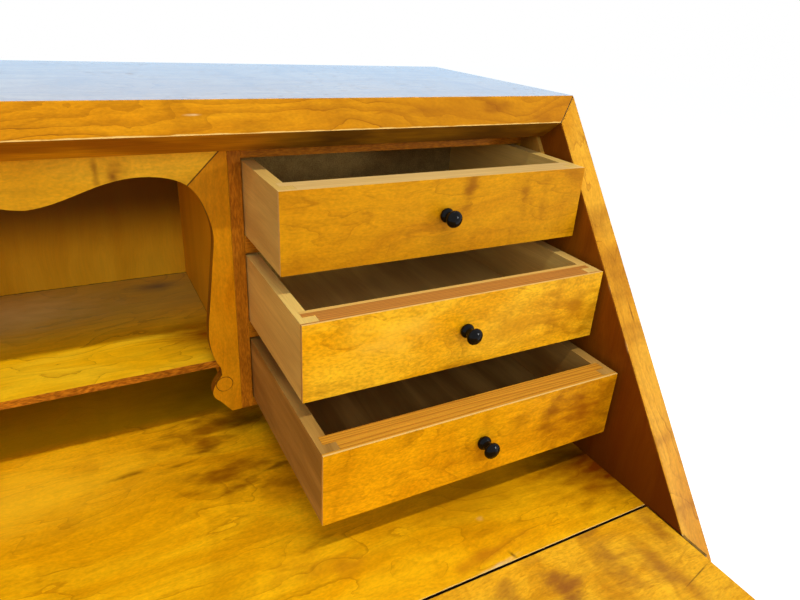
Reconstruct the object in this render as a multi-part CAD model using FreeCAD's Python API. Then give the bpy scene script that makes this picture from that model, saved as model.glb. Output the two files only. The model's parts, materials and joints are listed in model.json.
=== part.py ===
import FreeCAD, Part
import math
import os

# Fall-front writing desk in birch, all lengths in millimetres.
# X runs across the desk, +Y to its back, +Z up; the origin is on the floor,
# midway between the back and the front edge of the opened fall.

# Carcase
width = 900.0
top_depth = 248.0
slant_degrees = 52.9
slant_foot_drop = 22.2
side_thickness = 24.0
top_thickness = 21.0
back_thickness = 6.0
band_depth = 26.0
rail_cover = 40.0

# Writing surface and fall
writing_height = 745.0
fall_thickness = 24.0
fall_recess = 6.6
fall_side_gap = 1.0
fall_top_gap = 1.5
axis_drop = 3.0
hinge_gap = 2.2
swing_clearance = 0.3
fall_rest_clearance = 0.3

# Pivot hinges at the ends of the fall
pin_radius = 1.75
pin_clearance = 0.05
hinge_plate_length = 58.0
hinge_plate_height = 9.5
hinge_plate_thickness = 2.5
hinge_plate_cover = 0.6
hinge_plate_end = 4.0

# Fall stops under the ends of the top rail
stop_thickness = 4.0
stop_length = 70.0
stop_clearance = 0.5

# Small drawers and the case that holds them
fitment_setback = 20.8
slot_height = 31.2
divider_thickness = 10.5
# The dividers are thicker behind the brackets, which stand in their rebates
divider_step = 6.5
case_side_thickness = 4.0
case_top_thickness = 12.0
partition_thickness = 15.6
case_bottom_thickness = 8.5
small_width = 270.0
small_height = 61.5
small_back_gap = 6.0
small_count = 3
small_side_clearance = 1.0
small_headroom = 2.0
slide_clearance = 0.3
small_facing = 3.0
small_core = 18.0
small_side = 10.0
small_back = 8.0
small_bottom = 4.0
small_bottom_rise = 6.0
small_back_drop = 5.0
lock_tongue = 4.0
lock_notch = 5.5
pulled_shares = (0.446, 0.657, 0.848)

# Pigeonhole between the small drawers
shelf_rise = 84.9
shelf_thickness = 7.0
shelf_setback = 4.0
valance_thickness = 10.0
valance_gap = 0.2
rosette_radius = 7.2
rosette_thickness = 4.0
rosette_proud = 0.2
rosette_gap = 0.35

# Edge of one bracket and half the valance, from the waist of the bracket to
# the middle dip: share of the half opening in from the divider, and share of
# the bracket's height down from the rail
bracket_edge_shares = (
    (0.116, 0.806),
    (0.172, 0.694),
    (0.153, 0.556),
    (0.113, 0.372),
    (0.103, 0.289),
    (0.129, 0.219),
    (0.214, 0.131),
    (0.391, 0.093),
    (0.649, 0.109),
    (0.880, 0.154),
    (1.000, 0.166),
)
# Scroll below the waist: neck, three points round the scroll, and the tip
scroll_shares = (
    (0.112, 0.836),
    (0.154, 0.868),
    (0.176, 0.900),
    (0.138, 0.945),
    (0.064, 1.000),
)
rosette_centre_shares = (0.101, 0.876)

# Long drawers, lopers and the frame between them
top_row_height = 110.0
middle_opening = 220.0
rail_thickness = 18.0
rail_depth = 60.0
fall_knob_pass = 3.0
runner_thickness = 18.0
runner_width = 30.0
bottom_thickness = 18.0
loper_thickness = 22.0
loper_back_gap = 94.0
loper_out = 230.0
loper_chamfer = 6.0
guide_thickness = 18.0
guide_back_gap = 20.0
long_front = 20.0
long_side = 12.0
long_back = 10.0
long_bottom = 6.0
long_bottom_rise = 9.0
long_back_drop = 12.0
long_back_gap = 44.0
long_clearance = 1.5
long_box_inset = 2.0

# Base with bracket feet
base_height = 100.0
base_thickness = 20.0
foot_width = 120.0
side_foot_width = 105.0
apron_rise = 62.0
apron_dip = 12.0
apron_shoulder = 90.0
back_rise = 30.0
block_size = 55.0
block_rise = 4.0
# Curve from the inner toe of a foot up to the apron: share of the shoulder
# along, share of the apron's rise up
foot_curve_shares = ((0.0, 0.0), (0.10, 0.42), (0.45, 0.80), (1.0, 1.0))

# Turned knobs: flattened rear ball, neck, flattened head and the spigot in
# the wood, with the half depth of each ball along the knob
knob_rear_radius = 5.9
knob_rear_half_depth = 4.0
knob_head_radius = 6.8
knob_head_half_depth = 4.2
knob_rim_share = 0.65
knob_neck_radius = 3.8
knob_reach = 17.6
knob_spigot_radius = 2.5
knob_spigot_length = 9.0
knob_seat_depth = 0.8
knob_hole_clearance = 0.1
long_knob_scale = 1.75
long_knob_share = 0.27
fall_knob_drop = 45.0
# Small drawers' knobs sit off the middle: towards the desk's middle and up
small_knob_shift = 2.5
small_knob_rise = 2.5

overrun = 5.0

# Places worked out from the sizes above
slant = math.radians(slant_degrees)
half = width / 2
inner_half = half - side_thickness
small_pitch = small_height + partition_thickness + small_headroom + slide_clearance
small_stack = small_count * small_pitch - partition_thickness
case_under_z = writing_height + slot_height
case_floor_z = case_under_z + case_bottom_thickness
first_top_z = case_floor_z + small_stack - small_headroom
rail_under_z = first_top_z + small_headroom + case_top_thickness
top_under_z = rail_under_z + band_depth * math.cos(slant)
height = top_under_z + top_thickness
bracket_height = rail_under_z - case_under_z
shelf_z = writing_height + shelf_rise

axis_z = writing_height - axis_drop
axis_inset = fall_recess + fall_thickness - axis_drop
axis_depth = top_depth + (height - axis_z) / math.tan(slant) - axis_inset / math.sin(slant)
writing_edge = axis_drop * (1 + math.cos(slant)) / math.sin(slant) + swing_clearance
fall_edge = writing_edge - hinge_gap
slope_to_axis = (axis_depth - top_depth) * math.cos(slant) + (height - axis_z) * math.sin(slant)
fall_reach = slope_to_axis - top_thickness / math.sin(slant) - fall_top_gap

slant_foot_z = writing_height - slant_foot_drop
case_depth = top_depth + (height - slant_foot_z) / math.tan(slant)
back_y = (axis_depth + fall_reach) / 2
front_y = back_y - case_depth
top_front_y = back_y - top_depth
axis_y = back_y - axis_depth
inside_back_y = back_y - back_thickness
stop_inset = fall_recess + fall_thickness + stop_clearance
stop_top_depth = top_depth + (height - rail_under_z) / math.tan(slant) - stop_inset / math.sin(slant)
fitment_y = back_y - stop_top_depth + fitment_setback

bay_outer = inner_half - case_side_thickness
bay_inner = bay_outer - small_width - 2 * small_side_clearance
hole_half = bay_inner - divider_thickness
hole_wall = hole_half - divider_step
small_depth = inside_back_y - fitment_y - small_back_gap

fall_under_z = writing_height - fall_thickness
row_top_z = fall_under_z - fall_rest_clearance
row_floor_z = row_top_z - top_row_height
middle_floor_z = row_floor_z - rail_thickness - middle_opening
lower_floor_z = base_height + bottom_thickness
long_depth = case_depth - back_thickness - long_back_gap
loper_length = case_depth - back_thickness - loper_back_gap
guide_half = inner_half - loper_thickness - 2 * slide_clearance - guide_thickness
upper_rail_z = row_top_z - knob_reach - fall_knob_pass


def vec(x, y, z):
    return FreeCAD.Vector(x, y, z)


def block(x0, x1, y0, y1, z0, z1):
    return Part.makeBox(x1 - x0, y1 - y0, z1 - z0, vec(x0, y0, z0))


def prism_x(points, x0, x1):
    """A (y, z) outline pulled along X."""
    corners = [vec(x0, y, z) for y, z in points]
    face = Part.Face(Part.makePolygon(corners + corners[:1]))
    return face.extrude(vec(x1 - x0, 0, 0))


def prism_y(points, y0, y1):
    """An (x, z) outline pulled along Y."""
    corners = [vec(x, y0, z) for x, z in points]
    face = Part.Face(Part.makePolygon(corners + corners[:1]))
    return face.extrude(vec(0, y1 - y0, 0))


def curve(points):
    """A smooth edge through the given points."""
    spline = Part.BSplineCurve()
    spline.interpolate(points)
    return spline.toShape()


def lines(points):
    """Straight edges joining the given points in turn."""
    return [Part.makeLine(a, b) for a, b in zip(points, points[1:])]


def flipped(shape):
    """The same piece on the other side of the desk."""
    return shape.mirror(vec(0, 0, 0), vec(1, 0, 0))


def pair(shape):
    return Part.makeCompound([shape, flipped(shape)])


def save(name, shape):
    shape.exportStep(f"parts/{name}.step")


def slant_y(z, inset=0.0):
    """Y of the slanted front at a height, or of a plane that far behind it."""
    return top_front_y - (height - z) / math.tan(slant) + inset / math.sin(slant)


def carcase_outline():
    """Side view of the carcase above its base."""
    return [
        (front_y, base_height),
        (front_y, slant_foot_z),
        (top_front_y, height),
        (back_y, height),
        (back_y, base_height),
    ]


def hinge_plate_space(x0, x1, clearance):
    """Room for a hinge plate lying along the end of the opened fall."""
    front = axis_y + hinge_plate_end - hinge_plate_length
    top = writing_height - hinge_plate_cover
    return block(
        x0, x1,
        front - clearance, axis_y + hinge_plate_end + clearance,
        top - hinge_plate_height - clearance, top + clearance,
    )


def side():
    """Right side, mitred to the top and slanted in front."""
    mitred = [
        (inner_half, base_height),
        (half, base_height),
        (half, height),
        (inner_half, top_under_z),
    ]
    board = prism_y(mitred, front_y, back_y).common(prism_x(carcase_outline(), inner_half, half))
    return board.cut(hinge_plate_space(inner_half, inner_half + hinge_plate_thickness, 0))


def top_board():
    mitred = [
        (-half, height),
        (half, height),
        (inner_half, top_under_z),
        (-inner_half, top_under_z),
    ]
    return prism_y(mitred, front_y, back_y).common(prism_x(carcase_outline(), -half, half))


def top_rail():
    """Batten under the top, its front face square to the slant."""
    back = fitment_y + rail_cover
    outline = [
        (slant_y(top_under_z), top_under_z),
        (slant_y(top_under_z) + band_depth * math.sin(slant), rail_under_z),
        (back, rail_under_z),
        (back, top_under_z),
    ]
    return prism_x(outline, -inner_half, inner_half)


def back_panel():
    return block(-inner_half, inner_half, inside_back_y, back_y, base_height, top_under_z)


def writing_board():
    return block(
        -inner_half, inner_half,
        axis_y + writing_edge, inside_back_y,
        fall_under_z, writing_height,
    )


def fall_board():
    """Fall in its open place: bevelled heel, ends let in for the hinge plates."""
    end = inner_half - fall_side_gap
    outline = [
        (axis_y - fall_reach, fall_under_z),
        (axis_y, fall_under_z),
        (axis_y + fall_edge, fall_under_z + fall_edge),
        (axis_y + fall_edge, writing_height),
        (axis_y - fall_reach, writing_height),
    ]
    board = prism_x(outline, -end, end)
    pocket = hinge_plate_space(end - hinge_plate_thickness, end + overrun, 0)
    knob_holes = [knob_hole(x, fall_knob_y(), fall_under_z, vec(0, 0, 1), 1.0) for x in fall_knob_places()]
    return board.cut([pocket, flipped(pocket)] + knob_holes)


def side_hinge_plate():
    """Plate let into the right side, with the pin that carries the fall."""
    plate = hinge_plate_space(inner_half, inner_half + hinge_plate_thickness, 0)
    pin = Part.makeCylinder(
        pin_radius, fall_side_gap + hinge_plate_thickness - swing_clearance,
        vec(inner_half, axis_y, axis_z), vec(-1, 0, 0),
    )
    return plate.fuse(pin).removeSplitter()


def fall_hinge_plate():
    """Plate let into the right end of the fall, bored for the pin."""
    end = inner_half - fall_side_gap
    plate = hinge_plate_space(end - hinge_plate_thickness, end, 0)
    bore = Part.makeCylinder(
        pin_radius + pin_clearance, hinge_plate_thickness + 2 * overrun,
        vec(end + overrun, axis_y, axis_z), vec(-1, 0, 0),
    )
    return plate.cut(bore)


def fall_stop():
    """Strip on the right side that the closed fall leans on."""
    low = rail_under_z - stop_length
    outline = [
        (slant_y(rail_under_z, stop_inset), rail_under_z),
        (slant_y(low, stop_inset), low),
        (fitment_y, low),
        (fitment_y, rail_under_z),
    ]
    return prism_x(outline, inner_half - stop_thickness, inner_half)


def divider():
    """Right divider, rebated at the front for its bracket."""
    step_y = fitment_y + valance_thickness + valance_gap
    front = block(hole_half, bay_inner, fitment_y, inside_back_y, case_under_z, rail_under_z)
    step = block(hole_wall, hole_half, step_y, inside_back_y, case_under_z, rail_under_z)
    return front.fuse(step).removeSplitter()


def case_side():
    return block(bay_outer, inner_half, fitment_y, inside_back_y, case_under_z, rail_under_z)


def case_top():
    low = rail_under_z - case_top_thickness
    return block(bay_inner, bay_outer, fitment_y, inside_back_y, low, rail_under_z)


def small_top_z(row):
    """Height of the top edge of a small drawer, counted from the top."""
    return first_top_z - row * small_pitch


def partitions():
    """Boards under the right drawers, the lowest being the case's bottom."""
    boards = []
    for row in range(small_count):
        top = small_top_z(row) - small_height - slide_clearance
        thickness = case_bottom_thickness if row == small_count - 1 else partition_thickness
        boards.append(block(bay_inner, bay_outer, fitment_y, inside_back_y, top - thickness, top))
    return Part.makeCompound(boards)


def shelf():
    front = fitment_y + shelf_setback + valance_thickness
    nose = fitment_y + shelf_setback
    board = block(-hole_wall, hole_wall, front, inside_back_y, shelf_z - shelf_thickness, shelf_z)
    lip = block(-hole_wall, hole_wall, nose, front, shelf_z - shelf_thickness, shelf_z)
    brackets = [bracket(), flipped(bracket())]
    return board.fuse(lip).cut(brackets).removeSplitter()


def valance_point(shares):
    """Place on the front of the valance, from its shares."""
    return vec(
        hole_half - valance_gap - shares[0] * (hole_half - valance_gap),
        fitment_y,
        rail_under_z - shares[1] * bracket_height,
    )


def valance_plate():
    """Right half of the valance and its bracket, before the mitre."""
    edge_x = hole_half - valance_gap
    rim = [valance_point(shares) for shares in bracket_edge_shares]
    scroll = [valance_point(shares) for shares in scroll_shares]
    outer = [
        rim[-1],
        vec(0, fitment_y, rail_under_z),
        vec(edge_x, fitment_y, rail_under_z),
        vec(edge_x, fitment_y, case_under_z),
        scroll[-1],
    ]
    edges = lines(outer)
    edges.append(Part.makeLine(scroll[-1], scroll[-2]))
    edges.append(curve(scroll[-2::-1]))
    edges.append(Part.makeLine(scroll[0], rim[0]))
    edges.append(curve(rim))
    wire = Part.Wire(Part.__sortEdges__(edges))
    return Part.Face(wire).extrude(vec(0, valance_thickness, 0))


def mitre_space():
    """Everything to the right of the mitre between valance and bracket."""
    edge_x = hole_half - valance_gap
    corner = [
        (edge_x, rail_under_z),
        (edge_x - bracket_height, rail_under_z - bracket_height),
        (edge_x, rail_under_z - bracket_height),
    ]
    return prism_y(corner, fitment_y - overrun, fitment_y + valance_thickness + overrun)


def valance():
    right = valance_plate().cut(mitre_space())
    return right.fuse(flipped(right)).removeSplitter()


def rosette_centre():
    return valance_point(rosette_centre_shares)


def bracket():
    """Right bracket, with a seat for its rosette."""
    seat = Part.makeCylinder(
        rosette_radius + rosette_gap, rosette_thickness - rosette_proud,
        rosette_centre(), vec(0, 1, 0),
    )
    return valance_plate().common(mitre_space()).cut(seat)


def rosette():
    """Turned disc let into the scroll, its rim bevelled where it stands proud."""
    seat = Part.makeCylinder(
        rosette_radius, rosette_thickness - rosette_proud,
        rosette_centre(), vec(0, 1, 0),
    )
    rim = Part.makeCone(
        rosette_radius, rosette_radius - rosette_proud, rosette_proud,
        rosette_centre(), vec(0, -1, 0),
    )
    return seat.fuse(rim).removeSplitter()


def knob_hole(x, y, z, inward, scale):
    """Hole for a knob's spigot, bored into the wood."""
    radius = knob_spigot_radius * scale + knob_hole_clearance
    return Part.makeCylinder(radius, knob_spigot_length * scale, vec(x, y, z), inward)


def flattened_ball(radius, half_depth, middle):
    """Two domes that run smoothly into a round rim, turned about Z."""
    rim = half_depth * knob_rim_share
    across = radius - rim
    dome = (across ** 2 + half_depth ** 2 - rim ** 2) / (2 * (half_depth - rim))
    drop = dome - half_depth
    lean = math.atan2(across, drop)

    def on_dome(angle, side):
        return vec(dome * math.sin(angle), 0, middle + side * (dome * math.cos(angle) - drop))

    tip, shoulder = on_dome(0, 1), on_dome(lean, 1)
    low_tip, low_shoulder = on_dome(0, -1), on_dome(lean, -1)
    arcs = [
        Part.Arc(tip, on_dome(lean / 2, 1), shoulder),
        Part.Arc(shoulder, vec(radius, 0, middle), low_shoulder),
        Part.Arc(low_shoulder, on_dome(lean / 2, -1), low_tip),
    ]
    outline = Part.Wire([arc.toShape() for arc in arcs] + [Part.makeLine(low_tip, tip)])
    return Part.Face(outline).revolve(vec(0, 0, middle), vec(0, 0, 1), 360)


def knob(x, y, z, scale, outward):
    """Double-ball knob turned about the outward axis."""
    rear_depth = knob_rear_half_depth * scale
    head_depth = knob_head_half_depth * scale
    reach = knob_reach * scale
    rear = flattened_ball(knob_rear_radius * scale, rear_depth, rear_depth - knob_seat_depth * scale)
    head = flattened_ball(knob_head_radius * scale, head_depth, reach - head_depth)
    neck = Part.makeCylinder(knob_neck_radius * scale, reach - head_depth)
    body = rear.fuse([head, neck])
    body = body.common(block(-reach, reach, -reach, reach, 0, 2 * reach))
    tail = Part.makeCylinder(
        knob_spigot_radius * scale, knob_spigot_length * scale,
        vec(0, 0, 0), vec(0, 0, -1),
    )
    turned = body.fuse(tail).removeSplitter()
    turned.Placement = FreeCAD.Placement(vec(x, y, z), FreeCAD.Rotation(vec(0, 0, 1), outward))
    return turned


def small_front_y(row, out):
    return fitment_y - (pulled_shares[row] * small_depth if out else 0)


def small_left():
    return bay_inner + small_side_clearance


def small_knob_place(row, out):
    x = small_left() + small_width / 2 - small_knob_shift
    return (x, small_front_y(row, out), small_top_z(row) - small_height / 2 + small_knob_rise)


def small_front(row, out):
    """Faced front, its core locked into the drawer's sides."""
    left = small_left()
    right = left + small_width
    y = small_front_y(row, out)
    z1 = small_top_z(row)
    z0 = z1 - small_height
    middle = y + small_facing + small_core / 2
    back = y + small_facing + small_core
    inset = small_side + lock_tongue
    notch = small_side - lock_notch
    facing = block(left, right, y, y + small_facing, z0, z1)
    core = block(left + inset, right - inset, y + small_facing, middle, z0, z1)
    tongue = block(left + notch, right - notch, middle, back, z0, z1)
    hole = knob_hole(*small_knob_place(row, out), vec(0, 1, 0), 1.0)
    return facing.fuse([core, tongue]).removeSplitter().cut(hole)


def small_box(row, out):
    """Two sides, back and bottom of a small drawer."""
    left = small_left()
    right = left + small_width
    y = small_front_y(row, out) + small_facing
    middle = y + small_core / 2
    core_back = y + small_core
    end = small_front_y(row, out) + small_depth
    z1 = small_top_z(row)
    z0 = z1 - small_height
    floor = z0 + small_bottom_rise
    board = block(left, left + small_side, y, end, z0, z1)
    tongue = block(left + small_side, left + small_side + lock_tongue, y, middle, z0, z1)
    notch = block(left + small_side - lock_notch, left + small_side, middle, core_back, z0, z1)
    left_side = board.fuse(tongue).cut(notch).removeSplitter()
    centre = (left + right) / 2
    right_side = left_side.mirror(vec(centre, 0, 0), vec(1, 0, 0))
    inside = (left + small_side, right - small_side)
    bottom = block(*inside, core_back, end, floor, floor + small_bottom)
    back = block(*inside, end - small_back, end, floor + small_bottom, z1 - small_back_drop)
    return Part.makeCompound([left_side, right_side, bottom, back])


def small_knob(row, out):
    return knob(*small_knob_place(row, out), 1.0, vec(0, -1, 0))


def long_rows():
    """Half width, floor and ceiling of each long drawer's opening."""
    return [
        (guide_half, row_floor_z, upper_rail_z),
        (inner_half, middle_floor_z, row_floor_z - rail_thickness),
        (inner_half, lower_floor_z, middle_floor_z - rail_thickness),
    ]


def long_knob_places(row):
    reach, floor, ceiling = long_rows()[row]
    x = 2 * inner_half * long_knob_share
    return [(side_x, front_y, (floor + ceiling) / 2) for side_x in (-x, x)]


def long_drawer_front(row):
    reach, floor, ceiling = long_rows()[row]
    x = reach - long_clearance
    board = block(
        -x, x,
        front_y, front_y + long_front,
        floor + slide_clearance, ceiling - long_clearance,
    )
    holes = [knob_hole(*place, vec(0, 1, 0), long_knob_scale) for place in long_knob_places(row)]
    return board.cut(holes)


def long_drawer_box(row):
    """Two sides, back and bottom of a long drawer."""
    reach, floor, ceiling = long_rows()[row]
    x = reach - long_clearance - long_box_inset
    y = front_y + long_front
    end = front_y + long_depth
    z0 = floor + slide_clearance
    z1 = ceiling - long_clearance - long_back_drop
    base = z0 + long_bottom_rise
    right = block(x - long_side, x, y, end, z0, z1)
    bottom = block(-x + long_side, x - long_side, y, end, base, base + long_bottom)
    back = block(-x + long_side, x - long_side, end - long_back, end, base + long_bottom, z1)
    return Part.makeCompound([right, flipped(right), bottom, back])


def long_knobs(row):
    turned = [knob(*place, long_knob_scale, vec(0, -1, 0)) for place in long_knob_places(row)]
    return Part.makeCompound(turned)


def fall_knob_y():
    return axis_y - fall_reach + fall_knob_drop


def fall_knob_places():
    x = 2 * inner_half * long_knob_share
    return (-x, x)


def fall_knobs():
    """Pulls on the outer face, which lies below while the fall is open."""
    return Part.makeCompound([
        knob(x, fall_knob_y(), fall_under_z, 1.0, vec(0, 0, -1)) for x in fall_knob_places()
    ])


def front_rails():
    """Rails over the top drawer and between the long drawers."""
    back = front_y + rail_depth
    upper = block(-guide_half, guide_half, front_y, back, upper_rail_z, row_top_z)
    middle = block(-inner_half, inner_half, front_y, back, row_floor_z - rail_thickness, row_floor_z)
    lower = block(-inner_half, inner_half, front_y, back, middle_floor_z - rail_thickness, middle_floor_z)
    return Part.makeCompound([upper, middle, lower])


def drawer_runners():
    """Battens behind the rails that carry lopers, guides and drawers."""
    start = front_y + rail_depth
    wide = guide_half - runner_width
    narrow = inner_half - runner_width
    upper = block(wide, inner_half, start, inside_back_y, row_floor_z - runner_thickness, row_floor_z)
    lower = block(
        narrow, inner_half, start, inside_back_y,
        middle_floor_z - runner_thickness, middle_floor_z,
    )
    return Part.makeCompound([upper, flipped(upper), lower, flipped(lower)])


def loper_guide():
    return block(
        guide_half, guide_half + guide_thickness,
        front_y, inside_back_y - guide_back_gap,
        row_floor_z, row_top_z,
    )


def loper():
    """Right support for the opened fall, drawn out under it."""
    x0 = guide_half + guide_thickness + slide_clearance
    y0 = front_y - loper_out
    z0 = row_floor_z + slide_clearance
    outline = [
        (y0, z0 + loper_chamfer),
        (y0, row_top_z),
        (y0 + loper_length, row_top_z),
        (y0 + loper_length, z0),
        (y0 + loper_chamfer, z0),
    ]
    return prism_x(outline, x0, x0 + loper_thickness)


def bottom_board():
    return block(-inner_half, inner_half, front_y, inside_back_y, base_height, lower_floor_z)


def foot_curve(toe, outward):
    """Points from a foot's inner toe up to the apron, in (place, height)."""
    return [
        (toe - outward * along * apron_shoulder, up * apron_rise)
        for along, up in foot_curve_shares
    ]


def base_front():
    """Front of the base, cut to bracket feet and a dipping apron."""
    toe = half - foot_width
    right = [vec(x, front_y, z) for x, z in foot_curve(toe, 1)]
    dip = vec(0, front_y, apron_rise - apron_dip)
    left = [vec(-p.x, p.y, p.z) for p in reversed(right)]
    edges = [
        curve(right),
        curve([right[-1], dip, left[0]]),
        curve(left),
    ]
    corners = [(-toe, 0), (-half, 0), (-half, base_height), (half, base_height), (half, 0), (toe, 0)]
    edges += lines([vec(x, front_y, z) for x, z in corners])
    wire = Part.Wire(Part.__sortEdges__(edges))
    return Part.Face(wire).extrude(vec(0, base_thickness, 0))


def base_side():
    """Right end of the base, with a foot at the front and the back."""
    x = half - base_thickness
    start = front_y + base_thickness
    front_toe = start + side_foot_width - base_thickness
    back_toe = back_y - side_foot_width
    front = [vec(x, y, z) for y, z in foot_curve(front_toe, -1)]
    back = [vec(x, y, z) for y, z in foot_curve(back_toe, 1)]
    edges = [curve(front), Part.makeLine(front[-1], back[-1]), curve(back)]
    corners = [
        (back_toe, 0), (back_y, 0), (back_y, base_height),
        (start, base_height), (start, 0), (front_toe, 0),
    ]
    edges += lines([vec(x, y, z) for y, z in corners])
    wire = Part.Wire(Part.__sortEdges__(edges))
    return Part.Face(wire).extrude(vec(base_thickness, 0, 0))


def base_back():
    x = half - base_thickness
    return block(-x, x, back_y - base_thickness, back_y, back_rise, base_height)


def glue_blocks():
    """Three-cornered blocks that stiffen the corners of the base."""
    x = half - base_thickness
    blocks = []
    for y, towards in ((front_y + base_thickness, 1), (back_y - base_thickness, -1)):
        corner = [vec(x, y, block_rise), vec(x - block_size, y, block_rise),
                  vec(x, y + towards * block_size, block_rise)]
        face = Part.Face(Part.makePolygon(corner + corner[:1]))
        solid = face.extrude(vec(0, 0, base_height - block_rise))
        blocks += [solid, flipped(solid)]
    return Part.makeCompound(blocks)


os.makedirs("parts", exist_ok=True)

save("side_right", side())
save("side_left", flipped(side()))
save("top_board", top_board())
save("top_rail", top_rail())
save("back_panel", back_panel())
save("writing_board", writing_board())
save("fall_board", fall_board())
save("fall_knobs", fall_knobs())
save("side_hinge_plates", pair(side_hinge_plate()))
save("fall_hinge_plates", pair(fall_hinge_plate()))
save("fall_stops", pair(fall_stop()))
save("divider_right", divider())
save("divider_left", flipped(divider()))
save("case_sides", pair(case_side()))
save("case_tops", pair(case_top()))
save("partitions_right", partitions())
save("partitions_left", flipped(partitions()))
save("shelf", shelf())
save("valance", valance())
save("bracket_right", bracket())
save("bracket_left", flipped(bracket()))
save("rosettes", pair(rosette()))
save("front_rails", front_rails())
save("drawer_runners", drawer_runners())
save("loper_guides", pair(loper_guide()))
save("loper_right", loper())
save("loper_left", flipped(loper()))
save("bottom_board", bottom_board())
save("base_front", base_front())
save("base_sides", pair(base_side()))
save("base_back", base_back())
save("glue_blocks", glue_blocks())

for row in range(small_count):
    number = row + 1
    save(f"small_front_right_{number}", small_front(row, True))
    save(f"small_box_right_{number}", small_box(row, True))
    save(f"small_knob_right_{number}", small_knob(row, True))
    save(f"small_front_left_{number}", flipped(small_front(row, False)))
    save(f"small_box_left_{number}", flipped(small_box(row, False)))
    save(f"small_knob_left_{number}", flipped(small_knob(row, False)))

for row in range(len(long_rows())):
    number = row + 1
    save(f"long_front_{number}", long_drawer_front(row))
    save(f"long_box_{number}", long_drawer_box(row))
    save(f"long_knobs_{number}", long_knobs(row))
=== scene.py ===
import json
import math

import bpy
from mathutils import Matrix, Vector


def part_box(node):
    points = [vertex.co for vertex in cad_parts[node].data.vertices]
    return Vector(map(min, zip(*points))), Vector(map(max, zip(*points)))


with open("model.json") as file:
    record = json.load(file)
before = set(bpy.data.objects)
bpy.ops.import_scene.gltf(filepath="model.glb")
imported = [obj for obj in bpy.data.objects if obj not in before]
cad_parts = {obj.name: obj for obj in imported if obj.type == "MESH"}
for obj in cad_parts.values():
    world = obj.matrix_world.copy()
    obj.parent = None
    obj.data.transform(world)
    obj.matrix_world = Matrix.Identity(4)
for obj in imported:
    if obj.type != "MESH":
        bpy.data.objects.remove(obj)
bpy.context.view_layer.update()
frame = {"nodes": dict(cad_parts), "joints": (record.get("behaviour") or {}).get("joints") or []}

# Fall-front writing desk in figured birch. Objects are in metres, and the
# patterns and marks of the finishes in millimetres.

nodes = frame["nodes"]
joints = {joint["name"]: joint for joint in frame["joints"]}

MM = 0.001
PER_METRE = 1000.0

# Camera fitted to the photograph, which is 800 pixels wide: place in metres, turns in radians
camera_place = Vector((0.0294, -0.2974, 1.1203))
camera_yaw = 0.5131
camera_pitch = -0.4419
camera_roll = 0.0637
focal_pixels = 619.1
photo_width = 800
sensor_width = 36.0

# Slope of the carcase's front: what the fall leaves of a half turn when it shuts
slant = math.radians(180 + joints["fall_hinge"]["range_deg"][0])
SLOPE = (0, -math.sin(slant), math.cos(slant))
FRONT, BACK, UP = (0, -1, 0), (0, 1, 0), (0, 0, 1)

# Turns that bring a board's grain onto the X axis of its pattern
GRAIN = {
    "across": (0, 0, 0),
    "back": (0, 0, math.pi / 2),
    "up": (0, math.pi / 2, 0),
    "slope": (-slant, 0, math.pi / 2),
}

# Places on the boards that the finishes follow
side_low, side_high = (corner * PER_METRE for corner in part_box("side_right"))
top_low, top_high = (corner * PER_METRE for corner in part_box("top_board"))
bracket_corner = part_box("bracket_right")[1] * PER_METRE
shelf_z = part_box("shelf")[1].z * PER_METRE
write_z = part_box("writing_board")[1].z * PER_METRE
write_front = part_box("writing_board")[0].y * PER_METRE
valance_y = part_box("valance")[0].y * PER_METRE
# Mitres: where they start at the inside, and how far they go outwards per unit up
top_mitre = (side_low.x, top_low.z, (side_high.x - side_low.x) / (top_high.z - top_low.z))
valance_mitre = (bracket_corner.x, bracket_corner.z, 1.0)

# Values that a mottle mostly stays between
FAINT, FULL = 0.3, 0.7
# How ragged a mark's edge is: that of a stain in the grain, and that of a broad soft shade
FRAYED, SMOOTH = 2.6, 0.7
# How deep a mark goes into a board, and how deep one goes that passes through the desk
THROUGH, RIGHT_THROUGH = 40, 1000
STRAIGHT = (0, 0, 0)

# Tones of the veneer: in its curl, its body and its brightest cloud
GOLD = ("#A05A04", "#E0920A", "#F0A816")
AMBER = ("#985802", "#C47E04", "#D69208")
HONEY = ("#A86602", "#E8A004", "#F6B40C")
ORANGE = ("#94540A", "#CC8614", "#DA9A26")
# Tones of the sides' inner faces: a painted shade, dark and pale
INSIDE = ("#5A2604", "#7C3E06", "#8C4C08")
PALE_ARRIS, DARK_JOINT = "#E6BC68", "#120803"
# Tones of the marks
BROWN, RUST, UMBER, FLAME = "#905202", "#B4680A", "#6A3A02", "#86481A"


def colour(code):
    """Linear colour from an sRGB hex value."""
    channels = [int(code[start:start + 2], 16) / 255 for start in (1, 3, 5)]
    linear = [c / 12.92 if c <= 0.04045 else ((c + 0.055) / 1.055) ** 2.4 for c in channels]
    return (*linear, 1.0)


def add(tree, kind, inputs=None, out=0, **settings):
    """One node with its settings; each input is a link or a value. Gives one output."""
    node = tree.nodes.new(kind)
    for name, value in settings.items():
        setattr(node, name, value)
    for name, value in (inputs or {}).items():
        if isinstance(value, bpy.types.NodeSocket):
            tree.links.new(value, node.inputs[name])
        else:
            node.inputs[name].default_value = value
    return node.outputs[out] if node.outputs else None


def begin(name):
    """New material: its tree, places on it in millimetres, and face directions."""
    material = bpy.data.materials.new(name)
    material.use_nodes = True
    tree = material.node_tree
    tree.nodes.clear()
    spot = add(tree, "ShaderNodeTexCoord", out="Object")
    place = add(tree, "ShaderNodeVectorMath", {0: spot, "Scale": PER_METRE}, operation="SCALE")
    return material, tree, place, spot.node.outputs["Normal"]


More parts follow.
